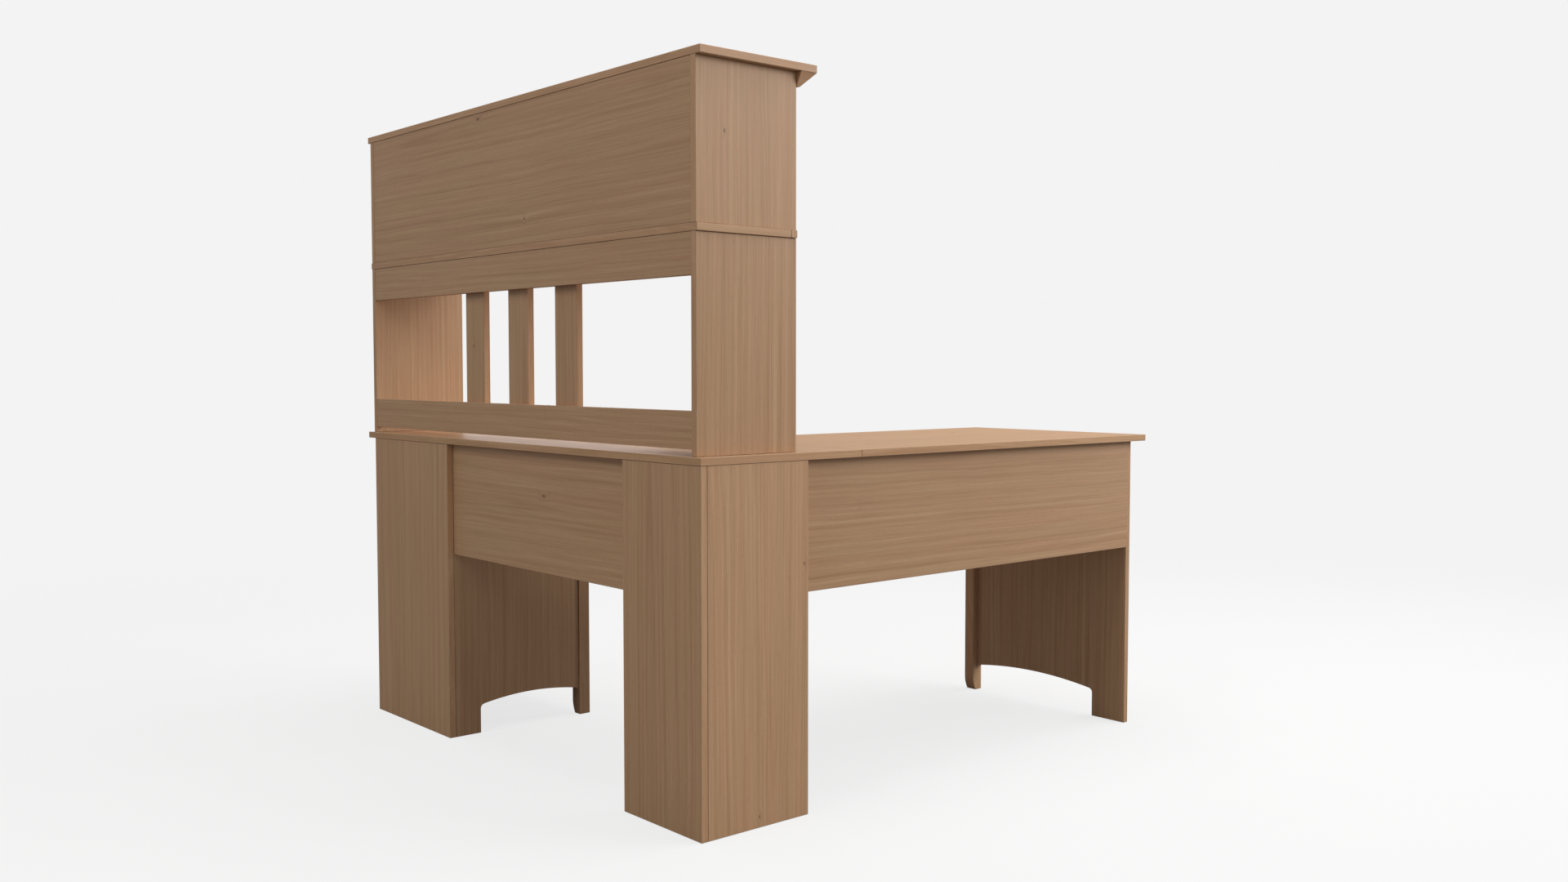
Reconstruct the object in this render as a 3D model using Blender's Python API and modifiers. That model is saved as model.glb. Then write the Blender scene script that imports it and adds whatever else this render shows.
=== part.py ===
"""L-shaped study desk with hutch, built as separate boards, fittings, drawers and doors.

Plan positions are given as (a, b): a runs along +X from the rear corner of the
carcass, b runs toward the user along -Y.  Heights are measured from the floor.
"""
import math

import bmesh
import bpy
from mathutils import Matrix, Vector

# ---------------------------------------------------------------- dimensions (metres)
BOARD = 0.016                    # every panel
SEAM = 0.0003                    # clearance left where two pieces touch
EASE = 0.0008                    # eased edge on the boards
CENTRE_A = 0.7425                # plan centre of the desktops, measured from the rear corner
CENTRE_B = 0.7325
WELD = 0.00001                   # points closer than this are one

DESK_HEIGHT = 0.760
UNDER_TOP = DESK_HEIGHT - BOARD
TOP_LIP = 0.001                  # desktop overhang at the two rear edges
TOP_END_A = 1.486                # outer end of the main desktop
MAIN_DEPTH = 0.434               # front edge of the main desktop
RETURN_DEPTH = 0.586             # inner edge of the return desktop
RETURN_END_B = 1.466             # front end of the return desktop

CORNER_BACK_A = 0.268            # width of the corner's back board
CORNER_SIDE_B = 0.281            # reach of the corner's side board
MODESTY_SET = 0.017              # outer face of both modesty panels
MODESTY_BOTTOM = 0.466

PED_INNER_A = 1.040              # knee-space face of the pedestal's inner side
PED_OUTER_A = 1.448              # outside face of the pedestal's outer side
LEG_REAR_B = 0.382
LEG_FRONT_B = 0.414
LEG_WIDE = 0.036                 # across the panel it stops
LEG_PROUD = 0.004                # how far a leg stands out beyond its panel's outer face
FOOT_CURVE_HIGH = 0.038
FOOT_CURVE_IN = 0.011
REAR_FOOT = 0.087                # depth of the rear foot left beside the arch
ARCH_SPRING = 0.072              # height of the arch where it meets its feet
ARCH_RISE = 0.0145
RET_ARCH_RISE = 0.0160
ARCH_FILLET = 0.011

RET_REAR_A = 0.021               # rear edge of the return's end panel
RET_OUTER_B = 1.432              # outside face of the return's end panel
RET_FOOT_A = 0.124               # front of the end panel's rear foot
RET_LEG_REAR_A = 0.532
RET_LEG_FRONT_A = 0.564

HUTCH_A0 = 0.024
HUTCH_A1 = 1.470
HUTCH_BACK_B = 0.008
HUTCH_FRONT_B = 0.268
SHELF_Z = 1.201                  # underside of the through shelf
SHELF_LIP = 0.004
NOSING = 0.016
TOP_Z = 1.540                    # underside of the hutch top
TOP_SIDE_LIP = 0.015
TOP_FRONT_B = 0.312
CROWN_HIGH = 0.030
CROWN_FOOT = 0.0095              # depth of the crown along its lower edge
CROWN_SET = 0.001                # crown stands this far in from the top's front edge
RAIL_SET = 0.001                 # rails stand this far in from the hutch's back edges
UPPER_RAIL_Z = 1.116
LOWER_RAIL_Z0 = 0.774
LOWER_RAIL_Z1 = 0.850
SLAT_WIDE = 0.089
SLAT_CENTRES = (0.5230, 0.7295, 0.9350)
SLAT_LAP = 0.045                 # how far a slat runs over each rail
FRIEZE_HIGH = 0.034
DOOR_GAP = 0.0024
DOOR_TOP_GAP = 0.003
BAYS = 3

KNUCKLE_R = 0.0030
KNUCKLE_BORE = 0.0016
PIN_R = 0.0013
LEAF_THICK = 0.0007
LEAF_DEEP = 0.020
HINGE_ROWS = 7                   # knuckles in each full-height hinge, frame leaf first and last
HINGE_END_GAP = 0.004            # hinge stops this far inside the door's top and bottom
KNUCKLE_GAP = 0.00025
LEAF_CLEAR = 0.0002              # each leaf stands this far off the hinge's middle plane
TAB_CLEAR = 0.0004               # leaf tab stops this far short of the bore
TAB_LAP = 0.001                  # tab runs this far into its leaf
HINGE_AXIS_OUT = 0.0034          # hinge axis in front of the door's face

APRON_Z0 = 0.098
APRON_Z1 = 0.136
APRON_ARCH = 0.014
TOP_RAIL_HIGH = 0.028
FRONT_GAP = 0.002
DRAWER_SPLIT = 0.519
LOWER_BOX_Z = (0.152, 0.440)
UPPER_BOX_Z = (0.532, 0.688)
BOX_REAR_B = 0.045
BOX_WALL = 0.012
BOX_FLOOR = 0.006
BOX_FLOOR_UP = 0.008
RUNNER_HIGH = 0.014
GROOVE_DEEP = 0.007
GROOVE_PLAY = 0.0004             # clearance all round a runner in its groove
HANDLE_SPAN = 0.128
HANDLE_REACH = 0.028
HANDLE_R = 0.005
HANDLE_DROP = 0.075              # lower drawer's handle below the top of its front
KNOB_R = 0.014
KNOB_LONG = 0.024
KNOB_EDGE = 0.038                # knob centre from the door's free edge and bottom

PLATE_LONG = 0.090
PLATE_WIDE = 0.036
PLATE_THICK = 0.003
PLATE_PLACES = (0.140, 0.440)

# ---------------------------------------------------------------- materials
COLOURS = {
    "oak_upright": ((0.392, 0.254, 0.153), 0.46, 0.0),
    "oak_long": ((0.392, 0.254, 0.153), 0.46, 0.0),
    "oak_return": ((0.392, 0.254, 0.153), 0.46, 0.0),
    "oak_worktop": ((0.440, 0.285, 0.170), 0.34, 0.0),
    "drawer_board": ((0.640, 0.560, 0.440), 0.50, 0.0),
    "runner_beech": ((0.560, 0.400, 0.250), 0.55, 0.0),
    "nickel": ((0.560, 0.545, 0.520), 0.32, 1.0),
    "zinc_steel": ((0.500, 0.510, 0.520), 0.38, 1.0),
}


def clear_scene():
    for item in list(bpy.data.objects):
        bpy.data.objects.remove(item, do_unlink=True)


def make_materials():
    made = {}
    for name, (colour, rough, metal) in COLOURS.items():
        mat = bpy.data.materials.new(name)
        mat.use_nodes = True
        shader = mat.node_tree.nodes["Principled BSDF"]
        shader.inputs["Base Color"].default_value = (*colour, 1.0)
        shader.inputs["Roughness"].default_value = rough
        shader.inputs["Metallic"].default_value = metal
        mat.diffuse_color = (*colour, 1.0)
        made[name] = mat
    return made


clear_scene()
MATERIALS = make_materials()
PARTS = bpy.data.collections.new("study_desk_with_hutch")
bpy.context.scene.collection.children.link(PARTS)


def world(a, b, z):
    return Vector((a - CENTRE_A, CENTRE_B - b, z))


def claim(item, name, slot):
    """Name a piece, give it its material and move it to the parts collection."""
    item.name = name
    item.data.name = name
    item.data.materials.clear()
    item.data.materials.append(MATERIALS[slot])
    for holder in list(item.users_collection):
        holder.objects.unlink(item)
    PARTS.objects.link(item)
    return item


def ease_edges(item, width=EASE):
    bevel = item.modifiers.new("eased edges", "BEVEL")
    bevel.width = width
    bevel.segments = 1
    bevel.limit_method = "ANGLE"
    bevel.angle_limit = math.radians(40)


def block(a0, a1, b0, b1, z0, z1):
    centre = world((a0 + a1) / 2, (b0 + b1) / 2, (z0 + z1) / 2)
    bpy.ops.mesh.primitive_cube_add(size=1.0, location=centre)
    item = bpy.context.active_object
    item.scale = (a1 - a0, b1 - b0, z1 - z0)
    bpy.ops.object.transform_apply(location=False, rotation=False, scale=True)
    return item


def board(name, a0, a1, b0, b1, z0, z1, slot):
    """A rectangular panel with eased edges."""
    item = block(a0, a1, b0, b1, z0, z1)
    ease_edges(item)
    return claim(item, name, slot)


def hipped_piece(foot, head, z0, z1):
    """Solid whose plan goes straight from the foot's (a0, a1, b0, b1) to the head's."""
    shape = bmesh.new()
    rings = []
    for (a0, a1, b0, b1), z in ((foot, z0), (head, z1)):
        plan = ((a0, b0), (a1, b0), (a1, b1), (a0, b1))
        rings.append([shape.verts.new(world(a, b, z)) for a, b in plan])
    lower, upper = rings
    shape.faces.new(lower)
    shape.faces.new(upper)
    for here in range(4):
        after = (here + 1) % 4
        shape.faces.new((lower[here], lower[after], upper[after], upper[here]))
    bmesh.ops.recalc_face_normals(shape, faces=shape.faces)
    mesh = bpy.data.meshes.new("hipped")
    shape.to_mesh(mesh)
    shape.free()
    item = bpy.data.objects.new("hipped", mesh)
    bpy.context.scene.collection.objects.link(item)
    return item


def mesh_from_curve(curve, matrix):
    """Turn a curve into a closed mesh object standing at the given matrix."""
    holder = bpy.data.objects.new("outline", curve)
    bpy.context.scene.collection.objects.link(holder)
    depsgraph = bpy.context.evaluated_depsgraph_get()
    mesh = bpy.data.meshes.new_from_object(holder.evaluated_get(depsgraph))
    shape = bmesh.new()
    shape.from_mesh(mesh)
    bmesh.ops.remove_doubles(shape, verts=shape.verts, dist=WELD)
    bmesh.ops.recalc_face_normals(shape, faces=shape.faces)
    shape.to_mesh(mesh)
    shape.free()
    bpy.data.objects.remove(holder, do_unlink=True)
    item = bpy.data.objects.new("outline", mesh)
    item.matrix_world = matrix
    bpy.context.scene.collection.objects.link(item)
    return item


def flat_piece(outline, thickness, matrix):
    """Extrude a closed outline evenly about its own plane."""
    curve = bpy.data.curves.new("outline", "CURVE")
    curve.dimensions = "2D"
    curve.fill_mode = "BOTH"
    curve.extrude = thickness / 2
    spline = curve.splines.new("POLY")
    spline.points.add(len(outline) - 1)
    for point, (u, v) in zip(spline.points, outline):
        point.co = (u, v, 0.0, 1.0)
    spline.use_cyclic_u = True
    return mesh_from_curve(curve, matrix)


def across_x(a0, a1):
    """Frame of an outline drawn as (b, z) whose thickness runs from a0 to a1."""
    turn = Matrix(((0, 0, 1, 0), (-1, 0, 0, 0), (0, 1, 0, 0), (0, 0, 0, 1)))
    return Matrix.Translation(world((a0 + a1) / 2, 0.0, 0.0)) @ turn


def across_y(b0, b1):
    """Frame of an outline drawn as (a, z) whose thickness runs from b0 to b1."""
    turn = Matrix(((1, 0, 0, 0), (0, 0, -1, 0), (0, 1, 0, 0), (0, 0, 0, 1)))
    return Matrix.Translation(world(0.0, (b0 + b1) / 2, 0.0)) @ turn


def arch_line(start, end, rise, steps=22):
    """Underside of an arched panel from one foot to the other, corners filleted."""
    middle = (start + end) / 2
    half = (end - start) / 2

    def height(u):
        return ARCH_SPRING + rise * (1 - ((u - middle) / half) ** 2)

    def fillet(corner_u, inward):
        low = (corner_u, ARCH_SPRING - ARCH_FILLET)
        top_u = corner_u + inward * ARCH_FILLET
        high = (top_u, height(top_u))
        knee = (corner_u, ARCH_SPRING)
        line = []
        for step in range(6):
            t = step / 5
            line.append(tuple(
                (1 - t) ** 2 * low[k] + 2 * t * (1 - t) * knee[k] + t * t * high[k]
                for k in range(2)
            ))
        return line

    points = fillet(start, 1)
    first = start + ARCH_FILLET
    last = end - ARCH_FILLET
    for step in range(1, steps):
        u = first + (last - first) * step / steps
        points.append((u, height(u)))
    points.extend(reversed(fillet(end, -1)))
    return points


def arched_outline(rear, foot_front, arch_end, top, rise):
    """A side panel standing on its rear foot; its front edge is carried by a leg."""
    points = [(rear, 0.0), (foot_front, 0.0)]
    points.extend(arch_line(foot_front, arch_end, rise))
    points.append((arch_end, top))
    points.append((rear, top))
    return points


def leg_outline(plain, curved, top, steps=8):
    """A post whose curved side draws in toward the floor."""
    sign = 1 if plain > curved else -1
    points = [(plain, top), (plain, 0.0)]
    for step in range(steps + 1):
        z = FOOT_CURVE_HIGH * step / steps
        draw_in = FOOT_CURVE_IN * (1 - z / FOOT_CURVE_HIGH) ** 2
        points.append((curved + sign * draw_in, z))
    points.append((curved, top))
    return points


def join_pieces(pieces):
    """Union of overlapping solids into the first one."""
    base = pieces[0]
    for other in pieces[1:]:
        union = base.modifiers.new("join", "BOOLEAN")
        union.operation = "UNION"
        union.solver = "EXACT"
        union.object = other
        bpy.context.view_layer.objects.active = base
        bpy.ops.object.modifier_apply(modifier=union.name)
        bpy.data.objects.remove(other, do_unlink=True)
    return base


def smooth_round(item):
    bpy.ops.object.select_all(action="DESELECT")
    item.select_set(True)
    bpy.context.view_layer.objects.active = item
    bpy.ops.object.shade_smooth()
    item.data.set_sharp_from_angle(angle=math.radians(35))


def turned(profile, matrix, steps):
    """Revolve a closed (radius, height) loop about the local Z axis."""
    mesh = bpy.data.meshes.new("profile")
    corners = [(radius, 0.0, height) for radius, height in profile]
    count = len(corners)
    closed = all(radius > 0 for radius, _ in profile)
    links = [(i, (i + 1) % count) for i in range(count if closed else count - 1)]
    mesh.from_pydata(corners, links, [])
    item = bpy.data.objects.new("turned", mesh)
    bpy.context.scene.collection.objects.link(item)
    screw = item.modifiers.new("turn", "SCREW")
    screw.angle = math.tau
    screw.steps = steps
    screw.render_steps = steps
    screw.use_merge_vertices = True
    screw.merge_threshold = WELD
    bpy.context.view_layer.objects.active = item
    bpy.ops.object.modifier_apply(modifier=screw.name)
    shape = bmesh.new()
    shape.from_mesh(mesh)
    bmesh.ops.remove_doubles(shape, verts=shape.verts, dist=WELD)
    bmesh.ops.recalc_face_normals(shape, faces=shape.faces)
    shape.to_mesh(mesh)
    shape.free()
    item.matrix_world = matrix
    return item


# ---------------------------------------------------------------- desk carcass
def build_corner():
    top = UNDER_TOP - SEAM
    board("corner_back_board", 0.0, CORNER_BACK_A, 0.0, BOARD, 0.0, top, "oak_upright")
    board("corner_side_board", 0.0, BOARD, BOARD + SEAM, CORNER_SIDE_B, 0.0, top, "oak_upright")


def build_desktops():
    board("main_desktop", -TOP_LIP, TOP_END_A, -TOP_LIP, MAIN_DEPTH,
          UNDER_TOP, DESK_HEIGHT, "oak_worktop")
    board("return_desktop", -TOP_LIP, RETURN_DEPTH, MAIN_DEPTH + SEAM, RETURN_END_B,
          UNDER_TOP, DESK_HEIGHT, "oak_worktop")


def build_modesty():
    top = UNDER_TOP - SEAM
    inner = MODESTY_SET + BOARD
    board("main_modesty", MODESTY_SET, PED_INNER_A - SEAM, MODESTY_SET, inner,
          MODESTY_BOTTOM, top, "oak_long")
    board("return_modesty", MODESTY_SET, inner, inner + SEAM, RET_OUTER_B - BOARD - SEAM,
          MODESTY_BOTTOM, top, "oak_return")


def build_pedestal():
    top = UNDER_TOP - SEAM
    board("pedestal_back_board", PED_INNER_A, PED_OUTER_A - BOARD - SEAM, 0.0, BOARD,
          0.0, top, "oak_upright")
    for name, a0, rear in (
        ("pedestal_inner_side", PED_INNER_A, BOARD + SEAM),
        ("pedestal_outer_side", PED_OUTER_A - BOARD, 0.0),
    ):
        outline = arched_outline(rear, REAR_FOOT, LEG_REAR_B - SEAM, top, ARCH_RISE)
        side = flat_piece(outline, BOARD, across_x(a0, a0 + BOARD))
        ease_edges(side)
        claim(side, name, "oak_upright")
    inner_plain = PED_INNER_A - LEG_PROUD
    outer_plain = PED_OUTER_A + LEG_PROUD
    for name, plain, curved in (
        ("pedestal_inner_leg", inner_plain, inner_plain + LEG_WIDE),
        ("pedestal_outer_leg", outer_plain, outer_plain - LEG_WIDE),
    ):
        outline = leg_outline(plain, curved, top)
        leg = flat_piece(outline, LEG_FRONT_B - LEG_REAR_B, across_y(LEG_REAR_B, LEG_FRONT_B))
        ease_edges(leg)
        claim(leg, name, "oak_upright")
    front0 = LEG_FRONT_B - BOARD
    board("pedestal_top_rail", OPENING_A0 + SEAM, OPENING_A1 - SEAM, front0, LEG_FRONT_B,
          top - TOP_RAIL_HIGH, top, "oak_long")
    build_apron(front0)


def build_apron(front0):
    """Rail under the drawers with a shallow arched lower edge."""
    left = OPENING_A0 + SEAM
    right = OPENING_A1 - SEAM
    steps = 14
    points = []
    for step in range(steps + 1):
        t = step / steps
        points.append((left + (right - left) * t, APRON_Z0 + APRON_ARCH * 4 * t * (1 - t)))
    points.append((right, APRON_Z1))
    points.append((left, APRON_Z1))
    apron = flat_piece(points, BOARD, across_y(front0, LEG_FRONT_B))
    ease_edges(apron)
    claim(apron, "pedestal_apron", "oak_long")


def build_return_end():
    top = UNDER_TOP - SEAM
    inner = RET_OUTER_B - BOARD
    outline = arched_outline(RET_REAR_A, RET_FOOT_A, RET_LEG_REAR_A - SEAM, top, RET_ARCH_RISE)
    panel = flat_piece(outline, BOARD, across_y(inner, RET_OUTER_B))
    ease_edges(panel)
    claim(panel, "return_end_panel", "oak_upright")
    plain = RET_OUTER_B + LEG_PROUD
    outline = leg_outline(plain, plain - LEG_WIDE, top)
    leg = flat_piece(outline, RET_LEG_FRONT_A - RET_LEG_REAR_A,
                     across_x(RET_LEG_REAR_A, RET_LEG_FRONT_A))
    ease_edges(leg)
    claim(leg, "return_end_leg", "oak_upright")


# ---------------------------------------------------------------- fittings
def build_joint_plates():
    """Steel plates under the seam between the two desktops."""
    under = UNDER_TOP - SEAM
    for number, a in enumerate(PLATE_PLACES, start=1):
        board(f"desktop_joint_plate_{number}", a - PLATE_WIDE / 2, a + PLATE_WIDE / 2,
              MAIN_DEPTH - PLATE_LONG / 2, MAIN_DEPTH + PLATE_LONG / 2,
              under - PLATE_THICK, under, "zinc_steel")


# ---------------------------------------------------------------- hutch
def build_hutch():
    foot = DESK_HEIGHT + SEAM
    shelf_top = SHELF_Z + BOARD
    back = HUTCH_BACK_B
    front = HUTCH_FRONT_B
    for name, a0 in (("corner", HUTCH_A0), ("outer", HUTCH_A1 - BOARD)):
        board(f"hutch_{name}_side_lower", a0, a0 + BOARD, back, front,
              foot, SHELF_Z - SEAM, "oak_upright")
        board(f"hutch_{name}_side_upper", a0, a0 + BOARD, back, front,
              shelf_top + SEAM, TOP_Z - SEAM, "oak_upright")
    nose = front - NOSING
    board("hutch_shelf", HUTCH_A0 - SHELF_LIP, HUTCH_A1 + SHELF_LIP, back, nose - SEAM,
          SHELF_Z, shelf_top, "oak_long")
    board("hutch_shelf_nosing", HUTCH_A0 - SHELF_LIP, HUTCH_A1 + SHELF_LIP, nose, front,
          SHELF_Z, shelf_top, "oak_long")
    board("hutch_top", HUTCH_A0 - TOP_SIDE_LIP, HUTCH_A1 + TOP_SIDE_LIP, back, TOP_FRONT_B,
          TOP_Z, TOP_Z + BOARD, "oak_long")
    inner0 = HUTCH_A0 + BOARD + SEAM
    inner1 = HUTCH_A1 - BOARD - SEAM
    rail0 = back + RAIL_SET
    rail1 = rail0 + BOARD
    board("hutch_back_panel", inner0, inner1, rail0, rail1,
          shelf_top + SEAM, TOP_Z - SEAM, "oak_long")
    board("hutch_upper_rail", inner0, inner1, rail0, rail1,
          UPPER_RAIL_Z, SHELF_Z - SEAM, "oak_long")
    board("hutch_lower_rail", inner0, inner1, rail0, rail1,
          LOWER_RAIL_Z0, LOWER_RAIL_Z1, "oak_long")
    for number, centre in enumerate(SLAT_CENTRES, start=1):
        board(f"hutch_slat_{number}", centre - SLAT_WIDE / 2, centre + SLAT_WIDE / 2,
              rail1 + SEAM, rail1 + SEAM + BOARD,
              LOWER_RAIL_Z1 - SLAT_LAP, UPPER_RAIL_Z + SLAT_LAP, "oak_upright")
    crown_back = front + SEAM
    crown = hipped_piece(
        (HUTCH_A0, HUTCH_A1, crown_back, crown_back + CROWN_FOOT),
        (HUTCH_A0 - TOP_SIDE_LIP, HUTCH_A1 + TOP_SIDE_LIP, crown_back, TOP_FRONT_B - CROWN_SET),
        TOP_Z - CROWN_HIGH, TOP_Z - SEAM)
    ease_edges(crown)
    claim(crown, "hutch_crown", "oak_long")
    board("hutch_frieze_rail", inner0, inner1, front - BOARD, front,
          TOP_Z - FRIEZE_HIGH, TOP_Z - SEAM, "oak_long")
    for number, a0 in enumerate(DIVIDERS, start=1):
        board(f"hutch_divider_{number}", a0, a0 + BOARD, rail1 + SEAM,
              front - BOARD - SEAM, shelf_top + SEAM, TOP_Z - SEAM, "oak_upright")


def hinge_leaf(axis_a, axis_b, low, high, side, moving):
    """One leaf of a full-height hinge; side is +1 when the door lies toward +X."""
    pitch = (high - low) / HINGE_ROWS
    sense = side if moving else -side
    near = axis_a + sense * LEAF_CLEAR
    lo, hi = sorted((near, near + sense * LEAF_THICK))
    rear = axis_b - HINGE_AXIS_OUT - LEAF_DEEP
    plate_front = axis_b - KNUCKLE_R - SEAM
    pieces = [block(lo, hi, rear, plate_front, low, high)]
    for row in range(1 if moving else 0, HINGE_ROWS, 2):
        z0 = low + row * pitch + KNUCKLE_GAP
        z1 = low + (row + 1) * pitch - KNUCKLE_GAP
        tab_front = axis_b - KNUCKLE_BORE - TAB_CLEAR
        pieces.append(block(lo, hi, plate_front - TAB_LAP, tab_front, z0, z1))
        ring = [
            (KNUCKLE_R, z1 - z0),
            (KNUCKLE_R, 0.0),
            (KNUCKLE_BORE, 0.0),
            (KNUCKLE_BORE, z1 - z0),
        ]
        pieces.append(turned(ring, Matrix.Translation(world(axis_a, axis_b, z0)), 14))
    return join_pieces(pieces)


def hinge_pin(axis_a, axis_b, low, high):
    profile = [(0.0, high - low), (PIN_R, high - low), (PIN_R, 0.0), (0.0, 0.0)]
    return turned(profile, Matrix.Translation(world(axis_a, axis_b, low)), 14)


def build_doors():
    z0 = SHELF_Z + BOARD + DOOR_TOP_GAP
    z1 = TOP_Z - FRIEZE_HIGH - DOOR_TOP_GAP
    inner0 = HUTCH_A0 + BOARD
    inner1 = HUTCH_A1 - BOARD
    front = HUTCH_FRONT_B
    doors = (
        ("corner", inner0 + DOOR_GAP, DIVIDERS[0] - DOOR_GAP, 1),
        ("outer", DIVIDERS[1] + BOARD + DOOR_GAP, inner1 - DOOR_GAP, -1),
    )
    for name, a0, a1, side in doors:
        board(f"hutch_{name}_door", a0, a1, front - BOARD, front, z0, z1, "oak_long")
        axis_a = inner0 + DOOR_GAP / 2 if side > 0 else inner1 - DOOR_GAP / 2
        axis_b = front + HINGE_AXIS_OUT
        low = z0 + HINGE_END_GAP
        high = z1 - HINGE_END_GAP
        for leaf, moving in (("frame", False), ("door", True)):
            item = hinge_leaf(axis_a, axis_b, low, high, side, moving)
            claim(item, f"hutch_{name}_hinge_{leaf}_leaf", "nickel")
            smooth_round(item)
        pin = claim(hinge_pin(axis_a, axis_b, low, high), f"hutch_{name}_hinge_pin", "nickel")
        smooth_round(pin)
        free = a1 - KNOB_EDGE if side > 0 else a0 + KNOB_EDGE
        knob(f"hutch_{name}_door_knob", free, front + SEAM, z0 + KNOB_EDGE)


def knob(name, a, b, z):
    profile = [
        (0.0, KNOB_LONG),
        (KNOB_R * 0.62, KNOB_LONG),
        (KNOB_R * 0.93, KNOB_LONG * 0.90),
        (KNOB_R, KNOB_LONG * 0.74),
        (KNOB_R * 0.90, KNOB_LONG * 0.58),
        (KNOB_R * 0.50, KNOB_LONG * 0.44),
        (KNOB_R * 0.42, KNOB_LONG * 0.22),
        (KNOB_R * 0.60, 0.0),
        (0.0, 0.0),
    ]
    turn = Matrix.Rotation(math.radians(90), 4, "X")
    item = turned(profile, Matrix.Translation(world(a, b, z)) @ turn, 24)
    claim(item, name, "nickel")
    smooth_round(item)


# ---------------------------------------------------------------- drawers
def grooved_wall(outer, toward, low, high, groove_z, b0, b1):
    """Drawer side with a groove in its outer face; toward points into the drawer."""
    inner = outer + toward * BOX_WALL
    bed = outer + toward * GROOVE_DEEP
    half = RUNNER_HIGH / 2 + GROOVE_PLAY
    outline = [
        (outer, low), (inner, low), (inner, high), (outer, high),
        (outer, groove_z + half), (bed, groove_z + half),
        (bed, groove_z - half), (outer, groove_z - half),
    ]
    return flat_piece(outline, b1 - b0, across_y(b0, b1))


def bow_handle(name, a, b, z):
    """Round bar bent out from the drawer front and back to it."""
    half = HANDLE_SPAN / 2
    curve = bpy.data.curves.new("handle", "CURVE")
    curve.dimensions = "3D"
    curve.bevel_depth = HANDLE_R
    curve.bevel_resolution = 2
    curve.use_fill_caps = True
    bend = 0.012
    path = [(-half, 0.0)]
    for centre_u, first, last in ((-half + bend, 180, 90), (half - bend, 90, 0)):
        for step in range(6):
            angle = math.radians(first + (last - first) * step / 5)
            path.append((centre_u + bend * math.cos(angle),
                         HANDLE_REACH - bend + bend * math.sin(angle)))
    path.append((half, 0.0))
    spline = curve.splines.new("POLY")
    spline.points.add(len(path) - 1)
    for point, (u, out) in zip(spline.points, path):
        point.co = (u, -out, 0.0, 1.0)
    item = mesh_from_curve(curve, Matrix.Translation(world(a, b, z)))
    claim(item, name, "nickel")
    smooth_round(item)


def build_drawers():
    front_face = LEG_FRONT_B
    front0 = front_face - BOARD
    wall_end = front0 - SEAM
    middle = (OPENING_A0 + OPENING_A1) / 2
    box0 = OPENING_A0 + FRONT_GAP
    box1 = OPENING_A1 - FRONT_GAP
    clear0 = box0 + BOX_WALL + SEAM
    clear1 = box1 - BOX_WALL - SEAM
    runner_b0 = MODESTY_SET + BOARD
    runner_b1 = LEG_REAR_B - SEAM
    runner_in = GROOVE_DEEP - GROOVE_PLAY
    top = UNDER_TOP - SEAM - TOP_RAIL_HIGH - FRONT_GAP
    drawers = (
        ("lower", APRON_Z1 + FRONT_GAP, DRAWER_SPLIT - FRONT_GAP / 2, LOWER_BOX_Z),
        ("upper", DRAWER_SPLIT + FRONT_GAP / 2, top, UPPER_BOX_Z),
    )
    for name, z0, z1, (box_low, box_high) in drawers:
        board(f"{name}_drawer_front", box0, box1, front0, front_face, z0, z1, "oak_long")
        groove_z = (box_low + box_high) / 2
        run0 = groove_z - RUNNER_HIGH / 2
        run1 = groove_z + RUNNER_HIGH / 2
        for hand, outer, toward in (("inner", box0, 1), ("outer", box1, -1)):
            wall = grooved_wall(outer, toward, box_low, box_high, groove_z, BOX_REAR_B, wall_end)
            ease_edges(wall)
            claim(wall, f"{name}_drawer_{hand}_wall", "drawer_board")
        board(f"{name}_drawer_inner_runner", PED_INNER_A + BOARD + SEAM, box0 + runner_in,
              runner_b0, runner_b1, run0, run1, "runner_beech")
        board(f"{name}_drawer_outer_runner", box1 - runner_in, PED_OUTER_A - BOARD - SEAM,
              runner_b0, runner_b1, run0, run1, "runner_beech")
        board(f"{name}_drawer_back", clear0, clear1, BOX_REAR_B, BOX_REAR_B + BOX_WALL,
              box_low, box_high, "drawer_board")
        board(f"{name}_drawer_floor", clear0, clear1, BOX_REAR_B + BOX_WALL + SEAM, wall_end,
              box_low + BOX_FLOOR_UP, box_low + BOX_FLOOR_UP + BOX_FLOOR, "drawer_board")
        if name == "upper":
            handle_z = (z0 + z1) / 2
        else:
            handle_z = z1 - HANDLE_DROP
        bow_handle(f"{name}_drawer_handle", middle, front_face + SEAM, handle_z)


# ---------------------------------------------------------------- assembly
OPENING_A0 = PED_INNER_A - LEG_PROUD + LEG_WIDE
OPENING_A1 = PED_OUTER_A + LEG_PROUD - LEG_WIDE
INNER_SPAN = HUTCH_A1 - HUTCH_A0 - 2 * BOARD
BAY_SPAN = (INNER_SPAN - (BAYS - 1) * BOARD) / BAYS
DIVIDERS = [
    HUTCH_A0 + BOARD + number * BAY_SPAN + (number - 1) * BOARD
    for number in range(1, BAYS)
]

build_desktops()
build_corner()
build_modesty()
build_pedestal()
build_return_end()
build_joint_plates()
build_hutch()
build_doors()
build_drawers()
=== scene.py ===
"""Looks for the L-shaped study desk with hutch: oak laminate boards, hinge, handle and runner finishes,
small fixings, studio floor, lights and camera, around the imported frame."""
import math
import random

import bmesh
import bpy
from mathutils import Matrix, Vector


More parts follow.
